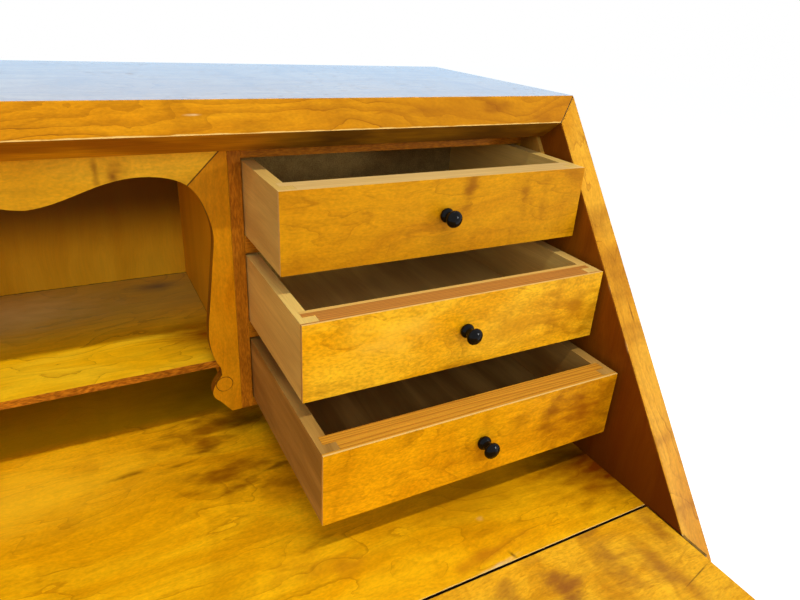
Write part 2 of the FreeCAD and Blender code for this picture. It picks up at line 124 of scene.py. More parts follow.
def streaks(tree, along, length, breadth, detail=2.0, wander=0.0):
    """Mottle drawn out along the grain, about so long and so broad."""
    scale = (1 / length, 1 / breadth, 1 / breadth)
    drawn = add(tree, "ShaderNodeMapping", {"Vector": along, "Scale": scale})
    return add(
        tree, "ShaderNodeTexNoise",
        {"Vector": drawn, "Scale": 1.0, "Detail": detail, "Distortion": wander},
    )


def in_log(tree, place, grain, shift=(0, 0, 0), waver=30.0):
    """Places in the log: X runs along the grain, which wavers over the board."""
    turned = add(
        tree, "ShaderNodeMapping",
        {"Vector": place, "Location": shift, "Rotation": GRAIN[grain]},
    )
    bends = streaks(tree, turned, length=150, breadth=60).node.outputs["Color"]
    return add(
        tree, "ShaderNodeVectorMath", {0: bends, 1: (waver,) * 3, 2: turned},
        operation="MULTIPLY_ADD",
    )


def glazed(tree, paint, tone, mottle, low, high, strength=1.0):
    """A tone that comes over the paint as the mottle goes from low to high, which may be less."""
    amount = add(
        tree, "ShaderNodeMapRange",
        {"Value": mottle, "From Min": low, "From Max": high, "To Max": strength},
        interpolation_type="SMOOTHSTEP",
    )
    return add(
        tree, "ShaderNodeMix", {0: amount, 6: paint, 7: tone}, out=2, data_type="RGBA",
    )


def shimmered(tree, paint, mottle, dark, light):
    """The paint made darker and lighter by the mottle."""
    share = add(
        tree, "ShaderNodeMapRange",
        {"Value": mottle, "From Min": FAINT, "From Max": FULL, "To Min": dark, "To Max": light},
    )
    return add(
        tree, "ShaderNodeMix", {0: 1.0, 6: paint, 7: share}, out=2,
        data_type="RGBA", blend_type="MULTIPLY",
    )


def faced(tree, direction, towards, paint, other):
    """Another paint on the faces that look towards a direction."""
    match = add(
        tree, "ShaderNodeVectorMath", {0: direction, 1: towards}, out="Value",
        operation="DOT_PRODUCT",
    )
    # Cosines of the angle between the two: with none of the other paint, and with all of it
    turned_off, turned_to = 0.80, 0.92
    return glazed(tree, paint, other, match, turned_off, turned_to)


def ringed(tree, along, paint, tone, gap, strength):
    """Growth rings: nested thin lines that bend round, with a soft shade behind each."""
    # How many gaps the bends and the jags push a line aside
    bend_swing, jag_swing = 9.0, 0.3
    # Shares of a gap: where the shade ends, where the line ends and where it is full
    shade_end, line_end, line_full = 0.7, 0.33, 0.21
    shade_strength, fading = 0.35 * strength, 0.5
    apart = add(tree, "ShaderNodeSeparateXYZ", {0: along}).node.outputs
    across = add(tree, "ShaderNodeMath", {0: apart["Y"], 1: apart["Z"]}, operation="ADD")
    even = add(tree, "ShaderNodeMath", {0: across, 1: gap}, operation="DIVIDE")
    bend = streaks(tree, along, length=150, breadth=65, detail=2.5, wander=0.5)
    level = add(
        tree, "ShaderNodeMath", {0: bend, 1: bend_swing, 2: even}, operation="MULTIPLY_ADD",
    )
    jag = streaks(tree, along, length=10, breadth=4)
    level = add(
        tree, "ShaderNodeMath", {0: jag, 1: jag_swing, 2: level}, operation="MULTIPLY_ADD",
    )
    saw = add(tree, "ShaderNodeMath", {0: level}, operation="FRACT")
    paint = glazed(tree, paint, tone, saw, shade_end, 0.0, shade_strength)
    fade = streaks(tree, along, length=70, breadth=30)
    shown = add(tree, "ShaderNodeMath", {0: fade, 1: fading, 2: saw}, operation="MULTIPLY_ADD")
    return glazed(tree, paint, tone, shown, line_end, line_full, strength)


def birch_figure(
    tree, along, tones, curl=0.5, burr=0.6, rings=0.35, gap=24.0, grit=0.11, dashes=0.0,
):
    """Flame birch: soft clouds, dark curl across the grain, rings, and the fibres' shimmer.

    Gives the paint, and the grit as a relief.
    """
    deep, body, bright = (colour(tone) for tone in tones)
    clouds = streaks(tree, along, length=120, breadth=45, detail=3.0, wander=0.8)
    paint = glazed(tree, body, bright, clouds, low=0.36, high=0.64)
    # Curl: soft dark bands across the grain, some 20 mm broad
    bands = streaks(tree, along, length=26, breadth=110, wander=0.5)
    paint = glazed(tree, paint, deep, bands, low=0.47, high=0.80, strength=curl)
    # Burr: small brown flecks in clusters
    clusters = streaks(tree, along, length=30, breadth=9, detail=5.0, wander=1.2)
    paint = glazed(tree, paint, deep, clusters, low=0.56, high=0.82, strength=burr)
    paint = ringed(tree, along, paint, deep, gap, rings)
    # Flow of the fibres in streaks some 4 mm apart
    flow = streaks(tree, along, length=60, breadth=4.0, detail=5.0, wander=0.6)
    paint = shimmered(tree, paint, flow, dark=0.91, light=1.07)
    # Grit of their cut ends, drawn coarser than it really is, so that it shows
    specks = streaks(tree, along, length=3.2, breadth=1.6, detail=3.0)
    paint = shimmered(tree, paint, specks, 1 - grit, 1 + grit)
    if dashes:
        ticks = streaks(tree, along, length=6.0, breadth=1.3)
        paint = glazed(tree, paint, deep, ticks, low=0.46, high=0.70, strength=dashes)
    return paint, specks


def planed(tree, along, pale, dark, contrast=0.12):
    """Plain planed wood: close fibre in soft streaks, without figure. Gives paint and relief."""
    clouds = streaks(tree, along, length=140, breadth=22, detail=3.0, wander=0.4)
    paint = glazed(tree, colour(dark), colour(pale), clouds, low=0.32, high=0.68)
    fibre = streaks(tree, along, length=34, breadth=0.9, detail=3.0)
    return shimmered(tree, paint, fibre, 1 - contrast, 1 + contrast), fibre


def sawn(tree, along, pale, dark):
    """Rough sawn edge: torn fibre ends in fine dark and pale flecks. Gives paint and relief."""
    torn = streaks(tree, along, length=5.0, breadth=1.1, detail=3.0)
    paint = glazed(tree, colour(dark), colour(pale), torn, low=0.28, high=0.72)
    clouds = streaks(tree, along, length=30, breadth=10, detail=3.0)
    return shimmered(tree, paint, clouds, dark=0.80, light=1.15), torn


def stain(tone, strength, x, y, wide, deep, turn=0.0, z=write_z):
    """A mark on a level face, turned by degrees, at the writing surface's height or another."""
    return (tone, strength, (x, y, z), (wide, deep, THROUGH), (0, 0, math.radians(turn)))


def fleck(tone, strength, x, y, z, wide, high):
    """A mark on a board's front."""
    return (tone, strength, (x, y, z), (wide, THROUGH, high), STRAIGHT)


def flame(tone, strength, x, z, wide, high, turn=0.0):
    """A mark on a drawer's face, turned by degrees, wherever the face stands."""
    return (tone, strength, (x, 0, z), (wide, RIGHT_THROUGH, high), (0, math.radians(turn), 0))


def marked(tree, place, along, paint, marks, rag=FRAYED):
    """Stains, knots, cracks and painted light and shade: each an oval, frayed along the grain, or
    smooth at a low rag.

    A mark has a tone, a strength, a middle, a reach and a turn. A strength over 1 holds the
    full tone further out.
    """
    fray = streaks(tree, along, length=22, breadth=9, detail=6.0)
    # The fray adds half the rag on average to how far a place is from the middle
    gone, full = rag / 2 + 1.15, rag / 2 - 0.3
    for tone, strength, middle, reach, turn in marks:
        local = add(
            tree, "ShaderNodeMapping",
            {"Vector": place, "Location": middle, "Rotation": turn, "Scale": reach},
            vector_type="TEXTURE",
        )
        away = add(tree, "ShaderNodeVectorMath", {0: local}, out="Value", operation="LENGTH")
        ragged = add(
            tree, "ShaderNodeMath", {0: fray, 1: rag, 2: away}, operation="MULTIPLY_ADD",
        )
        paint = glazed(tree, paint, colour(tone), ragged, gone, full, strength)
    return paint


def worn(tree, along, direction, paint):
    """Bare wood along the eased edges, where hands rub the lacquer off."""
    # How nearly square a face is, with patches added, where the lacquer is whole and where gone
    whole, gone, patches = 1.045, 0.96, 0.25
    size = add(tree, "ShaderNodeVectorMath", {0: direction}, operation="ABSOLUTE")
    square = add(
        tree, "ShaderNodeVectorMath", {0: direction, 1: SLOPE}, out="Value",
        operation="DOT_PRODUCT",
    )
    for part in add(tree, "ShaderNodeSeparateXYZ", {0: size}).node.outputs:
        square = add(tree, "ShaderNodeMath", {0: square, 1: part}, operation="MAXIMUM")
    rubbed = streaks(tree, along, length=30, breadth=12, detail=3.0)
    left_on = add(
        tree, "ShaderNodeMath", {0: rubbed, 1: patches, 2: square}, operation="MULTIPLY_ADD",
    )
    return glazed(tree, paint, colour("#EBC67E"), left_on, whole, gone, strength=0.75)


def mitred(tree, place, paint, start_x, start_z, run):
    """Dark glue line of a mitre that goes outwards by run for each unit up."""
    line_end, line_full = 0.95, 0.45
    apart = add(tree, "ShaderNodeSeparateXYZ", {0: place}).node.outputs
    out = add(tree, "ShaderNodeMath", {0: apart["X"]}, operation="ABSOLUTE")
    up = add(tree, "ShaderNodeMath", {0: apart["Z"], 1: start_z}, operation="SUBTRACT")
    line = add(tree, "ShaderNodeMath", {0: up, 1: run, 2: start_x}, operation="MULTIPLY_ADD")
    off = add(tree, "ShaderNodeMath", {0: out, 1: line}, operation="SUBTRACT")
    off = add(tree, "ShaderNodeMath", {0: off}, operation="ABSOLUTE")
    return glazed(tree, paint, colour("#2A1204"), off, line_end, line_full, strength=0.85)


def edged(tree, place, along, paint, tone, level, reach, axis="Z"):
    """A ragged line along the board, level on one axis, such as a chipped arris or a joint."""
    # The chips add about the reach on average to how far a place is from the line
    chipping, line_end, line_full = 2 * reach, 2.2 * reach, 1.4 * reach
    at = add(tree, "ShaderNodeSeparateXYZ", {0: place}, out=axis)
    off = add(tree, "ShaderNodeMath", {0: at, 1: level}, operation="SUBTRACT")
    off = add(tree, "ShaderNodeMath", {0: off}, operation="ABSOLUTE")
    chips = streaks(tree, along, length=12, breadth=6, detail=4.0)
    ragged = add(
        tree, "ShaderNodeMath", {0: chips, 1: chipping, 2: off}, operation="MULTIPLY_ADD",
    )
    return glazed(tree, paint, colour(tone), ragged, line_end, line_full, strength=0.9)


def hinge_dirt_and_painted_shade(tree, place, direction, towards, paint):
    """Old dirt and painted shade in the hinge line: a dark lip on a joint face, just under the
    surface.
    """
    lip_end, lip_full = write_z - 4.0, write_z - 2.5
    height = add(tree, "ShaderNodeSeparateXYZ", {0: place}, out="Z")
    lip = glazed(tree, paint, colour(DARK_JOINT), height, lip_end, lip_full)
    return faced(tree, direction, towards, paint, lip)


def lacquer(tree, paint, relief, roughness=0.38, coat=0.0, shine=0.1, depth=0.10):
    """Old lacquer over wood: satin, deep in colour, with soft highlights."""
    bump = add(tree, "ShaderNodeBump", {"Height": relief, "Strength": depth, "Distance": MM})
    surface = add(
        tree, "ShaderNodeBsdfPrincipled",
        {
            "Base Color": paint, "Roughness": roughness, "IOR": 1.5,
            "Specular IOR Level": shine, "Coat Weight": coat, "Coat Roughness": 0.1,
            "Normal": bump,
        },
    )
    add(tree, "ShaderNodeOutputMaterial", {"Surface": surface})


def veneer(name, tones, grain, shift=(0, 0, 0), marks=(), joint=None, **figure):
    """Figured birch veneer, lacquered golden; joint is a face that lies in a dark joint."""
    material, tree, place, direction = begin(name)
    along = in_log(tree, place, grain, shift)
    paint, relief = birch_figure(tree, along, tones, **figure)
    paint = marked(tree, place, along, paint, marks)
    paint = worn(tree, along, direction, paint)
    if joint:
        # Dark lip of dirt and painted shade in the hinge gap
        paint = hinge_dirt_and_painted_shade(tree, place, direction, joint, paint)
    lacquer(tree, paint, relief)
    return material


def writing_veneer():
    """Writing surface: honey veneer, with painted shade under the shelf and broad patches of
    painted light and shade.
    """
    material, tree, place, direction = begin("flame birch writing surface")
    along = in_log(tree, place, "across", (0, 20, 300))
    paint, relief = birch_figure(tree, along, HONEY, curl=0.25, burr=0.4, rings=0.42)
    depth = add(tree, "ShaderNodeSeparateXYZ", {0: place}, out="Y")
    painted_shade_starts, painted_shade_full = valance_y + 40, valance_y + 60
    # Painted shade: a dull olive tone deep under the shelf, where its shadow falls.
    paint = glazed(tree, paint, colour("#B09404"), depth, painted_shade_starts, painted_shade_full, strength=0.75)
    # Painted light and shade in broad soft patches
    paint = marked(tree, place, along, paint, writing_painted_light_and_shade, SMOOTH)
    paint = marked(tree, place, along, paint, writing_stains)
    paint = edged(tree, place, along, paint, PALE_ARRIS, write_front, reach=0.7, axis="Y")
    # Dark lip of dirt and painted shade in the hinge gap
    paint = hinge_dirt_and_painted_shade(tree, place, direction, FRONT, paint)
    lacquer(tree, paint, relief)
    return material


def side_veneer(name, inward):
    """Side of the carcase: golden outside, red-brown inside, its slanted edge lighter."""
    material, tree, place, direction = begin(name)
    upright = in_log(tree, place, "up", (310, 40, 0))
    sloping = in_log(tree, place, "slope", (60, 15, 120))
    outside, _ = birch_figure(tree, upright, GOLD, curl=0.25, burr=0.4)
    edge, relief = birch_figure(tree, sloping, ORANGE, curl=0.6, burr=0.6, rings=0.45, gap=22.0)
    inside, _ = planed(tree, upright, INSIDE[2], INSIDE[1])
    height = add(tree, "ShaderNodeSeparateXYZ", {0: place}, out="Z")
    # Painted shade: the inner face darker towards the writing surface, beside the drawers.
    shade_end = write_z + 160
    inside = glazed(tree, inside, colour(INSIDE[0]), height, shade_end, write_z, strength=0.7)
    paint = faced(tree, direction, SLOPE, outside, edge)
    paint = faced(tree, direction, (inward, 0, 0), paint, inside)
    paint = worn(tree, sloping, direction, paint)
    crack = ("#4A2206", 0.85, (-inward * 442, 27, 893), (1.3, 14, 18), (-0.63, 0, 0))
    paint = marked(tree, place, sloping, paint, [crack])
    lacquer(tree, mitred(tree, place, paint, *top_mitre), relief)
    return material


def top_veneer():
    """Top: polished harder than the rest, so that it mirrors its surroundings at a low angle."""
    material, tree, place, direction = begin("polished flame birch top")
    along = in_log(tree, place, "across", (40, 200, 90))
    tones = ("#8A4E02", "#C87E06", "#D68E0C")
    front, _ = birch_figure(tree, along, tones, curl=0.3, burr=0.5, rings=1.0, gap=14.0)
    # Painted shade over the right half of the front edge
    front = marked(tree, place, along, front, top_painted_shades, SMOOTH)
    front = marked(tree, place, along, front, top_flecks)
    front = edged(tree, place, along, front, PALE_ARRIS, top_low.z, reach=0.9)
    bleached = ("#9A6224", "#C68E46", "#D29C54")
    level, relief = birch_figure(tree, along, bleached, curl=0.35, burr=0.3, rings=0.4)
    # Pores and scratches in the polish, drawn broad because the view is so low
    pores = streaks(tree, along, length=9, breadth=2.6, detail=4.0)
    pore_edge, pore = 0.62, 0.72
    level = glazed(tree, level, colour("#5A3814"), pores, pore_edge, pore, strength=0.8)
    paint = faced(tree, direction, UP, front, level)
    paint = mitred(tree, place, paint, *top_mitre)
    dull, bright = (0.0, 0.0, 0.0, 1.0), (0.8, 0.8, 0.8, 1.0)
    polish = glazed(tree, bright, dull, pores, pore_edge, pore)
    polish = faced(tree, direction, UP, dull, polish)
    lacquer(tree, paint, relief, coat=polish, depth=0.04)
    return material


def faced_front(name, tones, shift, span, core, strip, marks, **figure):
    """Small drawer's front: veneered face, pale edge of the facing, ringed core behind it."""
    front_y, back_y = span
    facing_end, facing_full = front_y + 1.9, front_y + 1.3
    strip_share, strip_blur = 0.82, 0.3
    strip_y = front_y + strip_share * (back_y - front_y)
    strip_end, strip_full = strip_y - strip_blur, strip_y + strip_blur
    ring_sway, ring_edge = 3.0, 0.35
    material, tree, place, direction = begin(name)
    along = in_log(tree, place, "across", shift)
    face, relief = birch_figure(tree, along, tones, **figure)
    face = marked(tree, place, along, face, marks)
    straight = in_log(tree, place, "across", shift, waver=3.0)
    pale, dark, gap = core
    paint, _ = planed(tree, straight, pale, pale)
    depth = add(tree, "ShaderNodeSeparateXYZ", {0: place}, out="Y")
    even = add(tree, "ShaderNodeMath", {0: depth, 1: gap}, operation="DIVIDE")
    sway = streaks(tree, straight, length=260, breadth=9)
    rings = add(
        tree, "ShaderNodeMath", {0: sway, 1: ring_sway, 2: even}, operation="MULTIPLY_ADD",
    )
    late = add(tree, "ShaderNodeMath", {0: rings}, operation="FRACT")
    paint = glazed(tree, paint, colour(dark), late, ring_edge, 1.0)
    if strip:
        paint = glazed(tree, paint, colour(strip), depth, strip_end, strip_full)
    paint = glazed(tree, paint, colour("#E2B664"), depth, facing_end, facing_full)
    paint = faced(tree, direction, FRONT, paint, face)
    lacquer(tree, paint, relief)
    return material


def plain_wood(name, pale, dark, grain, edge=None, seam=None, marks=(), contrast=0.12):
    """Planed birch or pine: dull, close fibre; edge gives a sawn front, seam a dark joint."""
    material, tree, place, direction = begin(name)
    along = in_log(tree, place, grain, waver=10.0)
    paint, relief = planed(tree, along, pale, dark, contrast)
    # The marks here are smooth, such as the band's painted shade
    paint = marked(tree, place, along, paint, marks, SMOOTH)
    if seam:
        paint = edged(tree, place, along, paint, DARK_JOINT, seam, reach=0.7)
    if edge:
        rough, relief = sawn(tree, along, *edge)
        paint = faced(tree, direction, FRONT, paint, rough)
    lacquer(tree, paint, relief, roughness=0.5, depth=0.15)
    return material


def cut_veneer(name, tones, grain, shift, marks=()):
    """Valance and brackets: veneered faces, mitred, with a brown fretted edge."""
    material, tree, place, direction = begin(name)
    along = in_log(tree, place, grain, shift)
    face, relief = birch_figure(tree, along, tones, curl=0.2, burr=0.3, rings=0.15)
    face = marked(tree, place, along, face, marks)
    fretted, _ = planed(tree, along, "#9A5E0C", "#744208")
    paint = faced(tree, direction, FRONT, fretted, face)
    lacquer(tree, mitred(tree, place, paint, *valance_mitre), relief)
    return material


def panel_veneer():
    """Back panel: birch ply, lacquered inside with painted shade under the top, bare behind."""
    material, tree, place, direction = begin("birch plywood back")
    along = in_log(tree, place, "up", (0, 0, 40))
    paint, relief = planed(tree, along, "#F8B820", "#ECA818", contrast=0.05)
    height = add(tree, "ShaderNodeSeparateXYZ", {0: place}, out="Z")
    # Painted shade: the panel darker up under the valance and top.
    bright_end, shaded = shelf_z + 30, shelf_z + 95
    paint = glazed(tree, paint, colour("#562E04"), height, bright_end, shaded, strength=0.88)
    paint = edged(tree, place, along, paint, "#2A1606", shelf_z, reach=0.7)
    bare, _ = planed(tree, along, "#E0C08A", "#D4B078", contrast=0.08)
    bare = ringed(tree, along, bare, colour("#AA8048"), gap=34.0, strength=0.5)
    paint = faced(tree, direction, BACK, paint, bare)
    lacquer(tree, paint, relief, roughness=0.5)
    return material


def shelf_veneer():
    """Shelf: golden ringed top, painted shade at the back, and a sawn front edge with a pale
    arris.
    """
    material, tree, place, direction = begin("birch shelf")
    along = in_log(tree, place, "across", (0, 0, 70))
    tones = ("#B87C08", "#FABA0C", "#FFC81C")
    paint, relief = birch_figure(tree, along, tones, curl=0.1, burr=0.2, rings=0.55, grit=0.05)
    depth = add(tree, "ShaderNodeSeparateXYZ", {0: place}, out="Y")
    shelf_shade_starts, shelf_shade_full = valance_y + 70, valance_y + 150
    # Painted shade: a dull olive tone towards the back, under the valance.
    paint = glazed(tree, paint, colour("#B4A050"), depth, shelf_shade_starts, shelf_shade_full, strength=0.55)
    # Painted light and shade, and a grey ring stain
    paint = marked(tree, place, along, paint, shelf_painted_light_shade_and_stain, SMOOTH)
    rough, _ = sawn(tree, along, "#D07C18", "#84460A")
    paint = faced(tree, direction, FRONT, paint, rough)
    lacquer(tree, worn(tree, along, direction, paint), relief)
    return material


def black_lacquer():
    """Turned knobs dipped in black lacquer: deep black with tight highlights."""
    material, tree, place, _ = begin("black lacquered beech")
    dust = streaks(tree, place, length=1.5, breadth=1.5, detail=3.0)
    paint = glazed(tree, colour("#020203"), colour("#09090A"), dust, low=0.4, high=0.8)
    dulled = add(
        tree, "ShaderNodeMapRange",
        {"Value": dust, "From Min": 0.35, "From Max": 0.75, "To Min": 0.12, "To Max": 0.24},
    )
    lacquer(tree, paint, dust, roughness=dulled, shine=0.15, depth=0.03)
    return material


def hinge_steel():
    """Rolled steel plate, brassed and tarnished, brushed along its length: a dull gleam."""
    material, tree, place, _ = begin("brassed hinge steel")
    along = in_log(tree, place, "back", waver=0.0)
    tarnish = streaks(tree, along, length=9, breadth=6, detail=3.0)
    scratches = streaks(tree, along, length=14, breadth=0.4)
    paint = glazed(tree, colour("#7A5A20"), colour("#A8823A"), tarnish, FAINT, FULL)
    bump = add(tree, "ShaderNodeBump", {"Height": scratches, "Strength": 0.15, "Distance": MM})
    brushed = add(
        tree, "ShaderNodeMapRange",
        {"Value": scratches, "From Min": FAINT, "From Max": FULL, "To Min": 0.35, "To Max": 0.55},
    )
    surface = add(
        tree, "ShaderNodeBsdfPrincipled",
        {"Base Color": paint, "Metallic": 1.0, "Roughness": brushed, "Normal": bump},
    )
    add(tree, "ShaderNodeOutputMaterial", {"Surface": surface})
    return material


def dress(name, material, ease=0.5):
    """A CAD node with a finish, its sharp corners eased by so many millimetres."""
    piece = nodes[name]
    piece.data.materials.clear()
    piece.data.materials.append(material)
    weld = piece.modifiers.new("joined faces", "WELD")
    weld.merge_threshold = 0.01 * MM
    eased = piece.modifiers.new("eased edges", "BEVEL")
    eased.width = ease * MM
    eased.segments = 2
    eased.limit_method = "ANGLE"
    eased.angle_limit = math.radians(35)
    even = piece.modifiers.new("even shading", "WEIGHTED_NORMAL")
    even.keep_sharp = True


# Marks and soft shades in the veneer, put where the photograph shows them
# Painted light and shade on the writing surface
writing_painted_light_and_shade = [
    # Painted light: a pale pool on the left
    stain("#FFC828", 0.60, -70, 172, 170, 66),
    # Painted shade in and before the shadow of the lowest drawer
    stain("#A06400", 0.80, 305, 30, 150, 55),
    # Painted shade beside the right side
    stain("#763000", 1.25, 432, 10, 95, 75),
    # Painted shadow under the lowest drawer, by the right side
    stain("#4A2602", 0.80, 408, 32, 60, 20),
    # Painted shade under the shelf
    stain("#5E4402", 0.60, 118, 270, 80, 60),
    # Painted shadow under the divider's foot
    stain("#3A2002", 0.95, 150, 205, 50, 28),
]
writing_stains = [
    stain(BROWN, 0.25, -10, 124, 30, 14, 10),
    stain(BROWN, 0.85, 103, 204, 50, 26, 15),
    stain(BROWN, 0.75, 113, 184, 30, 14, 12),
    stain(UMBER, 0.75, 77, 163, 23, 3.5, 8),
    stain(UMBER, 0.65, 107, 175, 12, 5, 18),
    stain(UMBER, 0.75, 42, 168, 24, 4, 4),
    stain(BROWN, 0.95, 114, 132, 42, 30, 12),
    stain(UMBER, 0.90, 146, 127, 26, 4, 10),
    stain(BROWN, 0.70, 154, 106, 32, 24, 0),
    stain(BROWN, 0.35, 75, 140, 24, 18, -10),
    stain(BROWN, 0.15, 118, 59, 24, 12, 10),
    stain(RUST, 0.50, 147, 10, 34, 20, -6),
    stain(RUST, 0.45, 173, 1, 26, 16, 0),
    stain(RUST, 0.65, 278, -33, 50, 9, 4),
    stain(BROWN, 0.85, 379, -24, 13, 8, 5),
    stain("#F0D8B0", 0.14, 285, 0, 4, 3, 0),
    stain("#F4DFA8", 0.70, 268, -46, 24, 3.2, 7),
    stain("#3A1C04", 0.95, 287, -42, 2.2, 6, 20),
]
fall_stains = [
    stain(FLAME, 0.85, 304, -81, 17, 28, 0),
    stain(FLAME, 0.60, 356, -67, 15, 52, -6),
    stain(FLAME, 0.60, 385, -105, 14, 52, 12),
    stain(FLAME, 0.50, 413, -67, 12, 30, 0),
    stain(FLAME, 0.55, 262, -75, 15, 34, 0),
    stain("#3A1A04", 0.80, 400, -118, 30, 0.6, 13),
]
shelf_painted_light_shade_and_stain = [
    # Painted light: a pale pool at the left rear
    stain("#FFE080", 0.85, -60, 345, 120, 60, z=shelf_z),
    # A grey ring stain
    stain("#6A5A48", 0.85, 98, 364, 34, 18, z=shelf_z),
    # Painted shade at the right of the front, beside the bracket
    stain("#8A4A00", 1.10, 122, 240, 60, 40, z=shelf_z),
]
top_painted_shades = [
    # Painted shade over the right half of the front edge
    ("#A05C06", 0.70, (320, 142, 1046), (260, 60, 60), STRAIGHT),
]
top_flecks = [
    fleck("#EFD8A0", 0.60, 111, 143, 1047, 7, 1.1),
    fleck("#8A4A06", 0.60, 359, 145, 1049, 26, 7),
    fleck("#8A4A06", 0.50, 409, 137, 1039, 14, 7),
    fleck("#9A5A08", 0.50, 278, 142, 1046, 30, 3),
]
band_painted_shades = [
    # Painted shade over the middle and right of the band
    ("#442002", 1.0, (215, valance_y, top_low.z), (90, 300, 300), STRAIGHT),
    ("#4C2604", 1.0, (360, valance_y, top_low.z), (140, 300, 300), STRAIGHT),
]
valance_knot = [
    fleck("#7A3C0A", 0.90, 58, valance_y, 999, 4, 5),
    fleck("#A4620E", 0.70, 60, valance_y, 1003, 11, 10),
    fleck("#8C5208", 0.75, 47, valance_y, 1004, 3, 13),
]
# Flames of the right small drawers' faces, from the top one down
drawer_flames = {
    1: [
        flame(BROWN, 0.90, 305, 994, 7, 18, 15),
        flame(BROWN, 0.65, 360, 987, 7, 24),
        flame(BROWN, 0.40, 380, 976, 6, 30),
        flame(BROWN, 0.50, 412, 998, 12, 9),
    ],
    2: [
        flame(BROWN, 0.65, 371, 879, 9, 14),
        flame(BROWN, 0.50, 374, 903, 5, 18, 10),
        flame("#B06C02", 0.85, 396, 896, 40, 46),
        flame("#C07C02", 0.55, 330, 890, 60, 40),
        flame("#FFC83C", 0.50, 222, 902, 44, 22),
        flame(BROWN, 0.40, 171, 870, 30, 6),
        flame(BROWN, 0.45, 292, 865, 34, 6),
    ],
    3: [
        flame(BROWN, 0.60, 319, 826, 16, 14),
        flame(BROWN, 0.55, 283, 804, 16, 8),
        flame("#904C02", 0.90, 388, 815, 46, 46),
        flame(BROWN, 0.65, 350, 820, 12, 30, 8),
    ],
}

# Carcase and fall
dress("side_right", side_veneer("flame birch side, right", -1), ease=1.3)
dress("side_left", side_veneer("flame birch side, left", 1), ease=1.3)
dress("top_board", top_veneer(), ease=1.0)
dress("writing_board", writing_veneer(), ease=0.3)
fall_tones = ("#A86002", "#E49E10", "#F0B01E")
fall = veneer(
    "flame birch fall", fall_tones, "across", (230, 90, 300), fall_stains, BACK,
    curl=0.6, rings=0.15, dashes=0.3,
)
dress("fall_board", fall, ease=0.3)

case_wood = veneer("flame birch case", GOLD, "across", (15, 60, 20), curl=0.3, burr=0.4)
rough_edge = ("#C47612", "#985408")
inner_wood = plain_wood(
    "stained birch inside", "#E8A418", "#DE9A12", "up", rough_edge, shelf_z, contrast=0.04,
)
inner_board = plain_wood("stained birch boards", "#B07412", "#8A540A", "across", rough_edge)
softwood = plain_wood("planed pine", "#D8B27A", "#B98E52", "across")
# The band's marks are painted shade
band = plain_wood(
    "stained birch band", "#C8880E", "#9A5C08", "across", marks=band_painted_shades, contrast=0.2,
)
dress("top_rail", band)
stop_wood = plain_wood("birch stop strip", "#C88E34", "#A06A1C", "up", ("#E8C480", "#D0A050"))
dress("fall_stops", stop_wood, ease=0.2)
for name in ("divider_right", "divider_left", "case_sides"):
    dress(name, inner_wood)
for name in ("partitions_right", "partitions_left", "case_tops"):
    dress(name, inner_board)
for name in ("drawer_runners", "base_back", "glue_blocks"):
    dress(name, softwood)
for name in ("front_rails", "bottom_board", "loper_guides", "loper_left", "loper_right"):
    dress(name, case_wood)
for name in ("base_front", "base_sides"):
    dress(name, case_wood)

# Pigeonhole
dress("back_panel", panel_veneer())
dress("shelf", shelf_veneer())
valance_tones = ("#B87C10", "#F0AE18", "#F8BE28")
valance_wood = cut_veneer("birch valance", valance_tones, "across", (0, 50, 10), valance_knot)
dress("valance", valance_wood, ease=0.3)
bracket_tones = ("#985402", "#D08004", "#DE920C")
bracket_wood = cut_veneer("birch bracket", bracket_tones, "up", (90, 50, 10))
for name in ("bracket_right", "bracket_left", "rosettes"):
    dress(name, bracket_wood, ease=0.3)

# Drawers, knobs and hinges
BOX_TONES = ("#E2BC62", "#CFA452")
long_wood = plain_wood("planed long drawer birch", *BOX_TONES, "back", contrast=0.08)
black = black_lacquer()
# Each row of small drawers: the face's tones and grit, the core behind it (pale, dark and
# ring gap), the strip behind that, and the box's pale and dark tones, outside and inside
row_looks = {
    1: {
        "tones": AMBER, "grit": 0.12, "core": ("#DDB36A", "#D2A55C", 6.0), "strip": None,
        "box": BOX_TONES, "inside": ("#A88A4A", "#8A6C38"),
    },
    2: {
        "tones": ("#AA6402", "#E69F09", "#F5B720"), "grit": 0.20,
        "core": ("#C08034", "#A0622A", 2.6), "strip": "#D8AA54",
        "box": BOX_TONES, "inside": ("#C09C4C", "#A07C34"),
    },
    3: {
        "tones": ("#9C5C02", "#D68E03", "#E69F07"), "grit": 0.17,
        "core": ("#CA8A26", "#AA6A1C", 3.2), "strip": None,
        "box": ("#B88A40", "#90662A"), "inside": ("#C89A48", "#A87C30"),
    },
}
# How far apart in the log the rows' veneers were cut
cut_along, cut_up = 90, 170
for row, look in row_looks.items():
    box_wood = plain_wood(
        f"planed drawer birch {row}", *look["box"], "back", look["inside"], contrast=0.08,
    )
    for side in ("right", "left"):
        span = [corner.y * PER_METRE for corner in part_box(f"small_front_{side}_{row}")]
        face = faced_front(
            f"faced drawer front, {side} {row}", look["tones"],
            (row * cut_along, 0, row * cut_up), span, look["core"], look["strip"],
            drawer_flames[row], curl=0.35, rings=0.32, grit=look["grit"],
        )
        dress(f"small_front_{side}_{row}", face, ease=0.3)
        dress(f"small_box_{side}_{row}", box_wood, ease=0.3)
        dress(f"small_knob_{side}_{row}", black, ease=0.1)
    dress(f"long_front_{row}", case_wood)
    dress(f"long_box_{row}", long_wood)
    dress(f"long_knobs_{row}", black, ease=0.1)
dress("fall_knobs", black, ease=0.1)
steel = hinge_steel()
dress("side_hinge_plates", steel, ease=0.2)
dress("fall_hinge_plates", steel, ease=0.2)


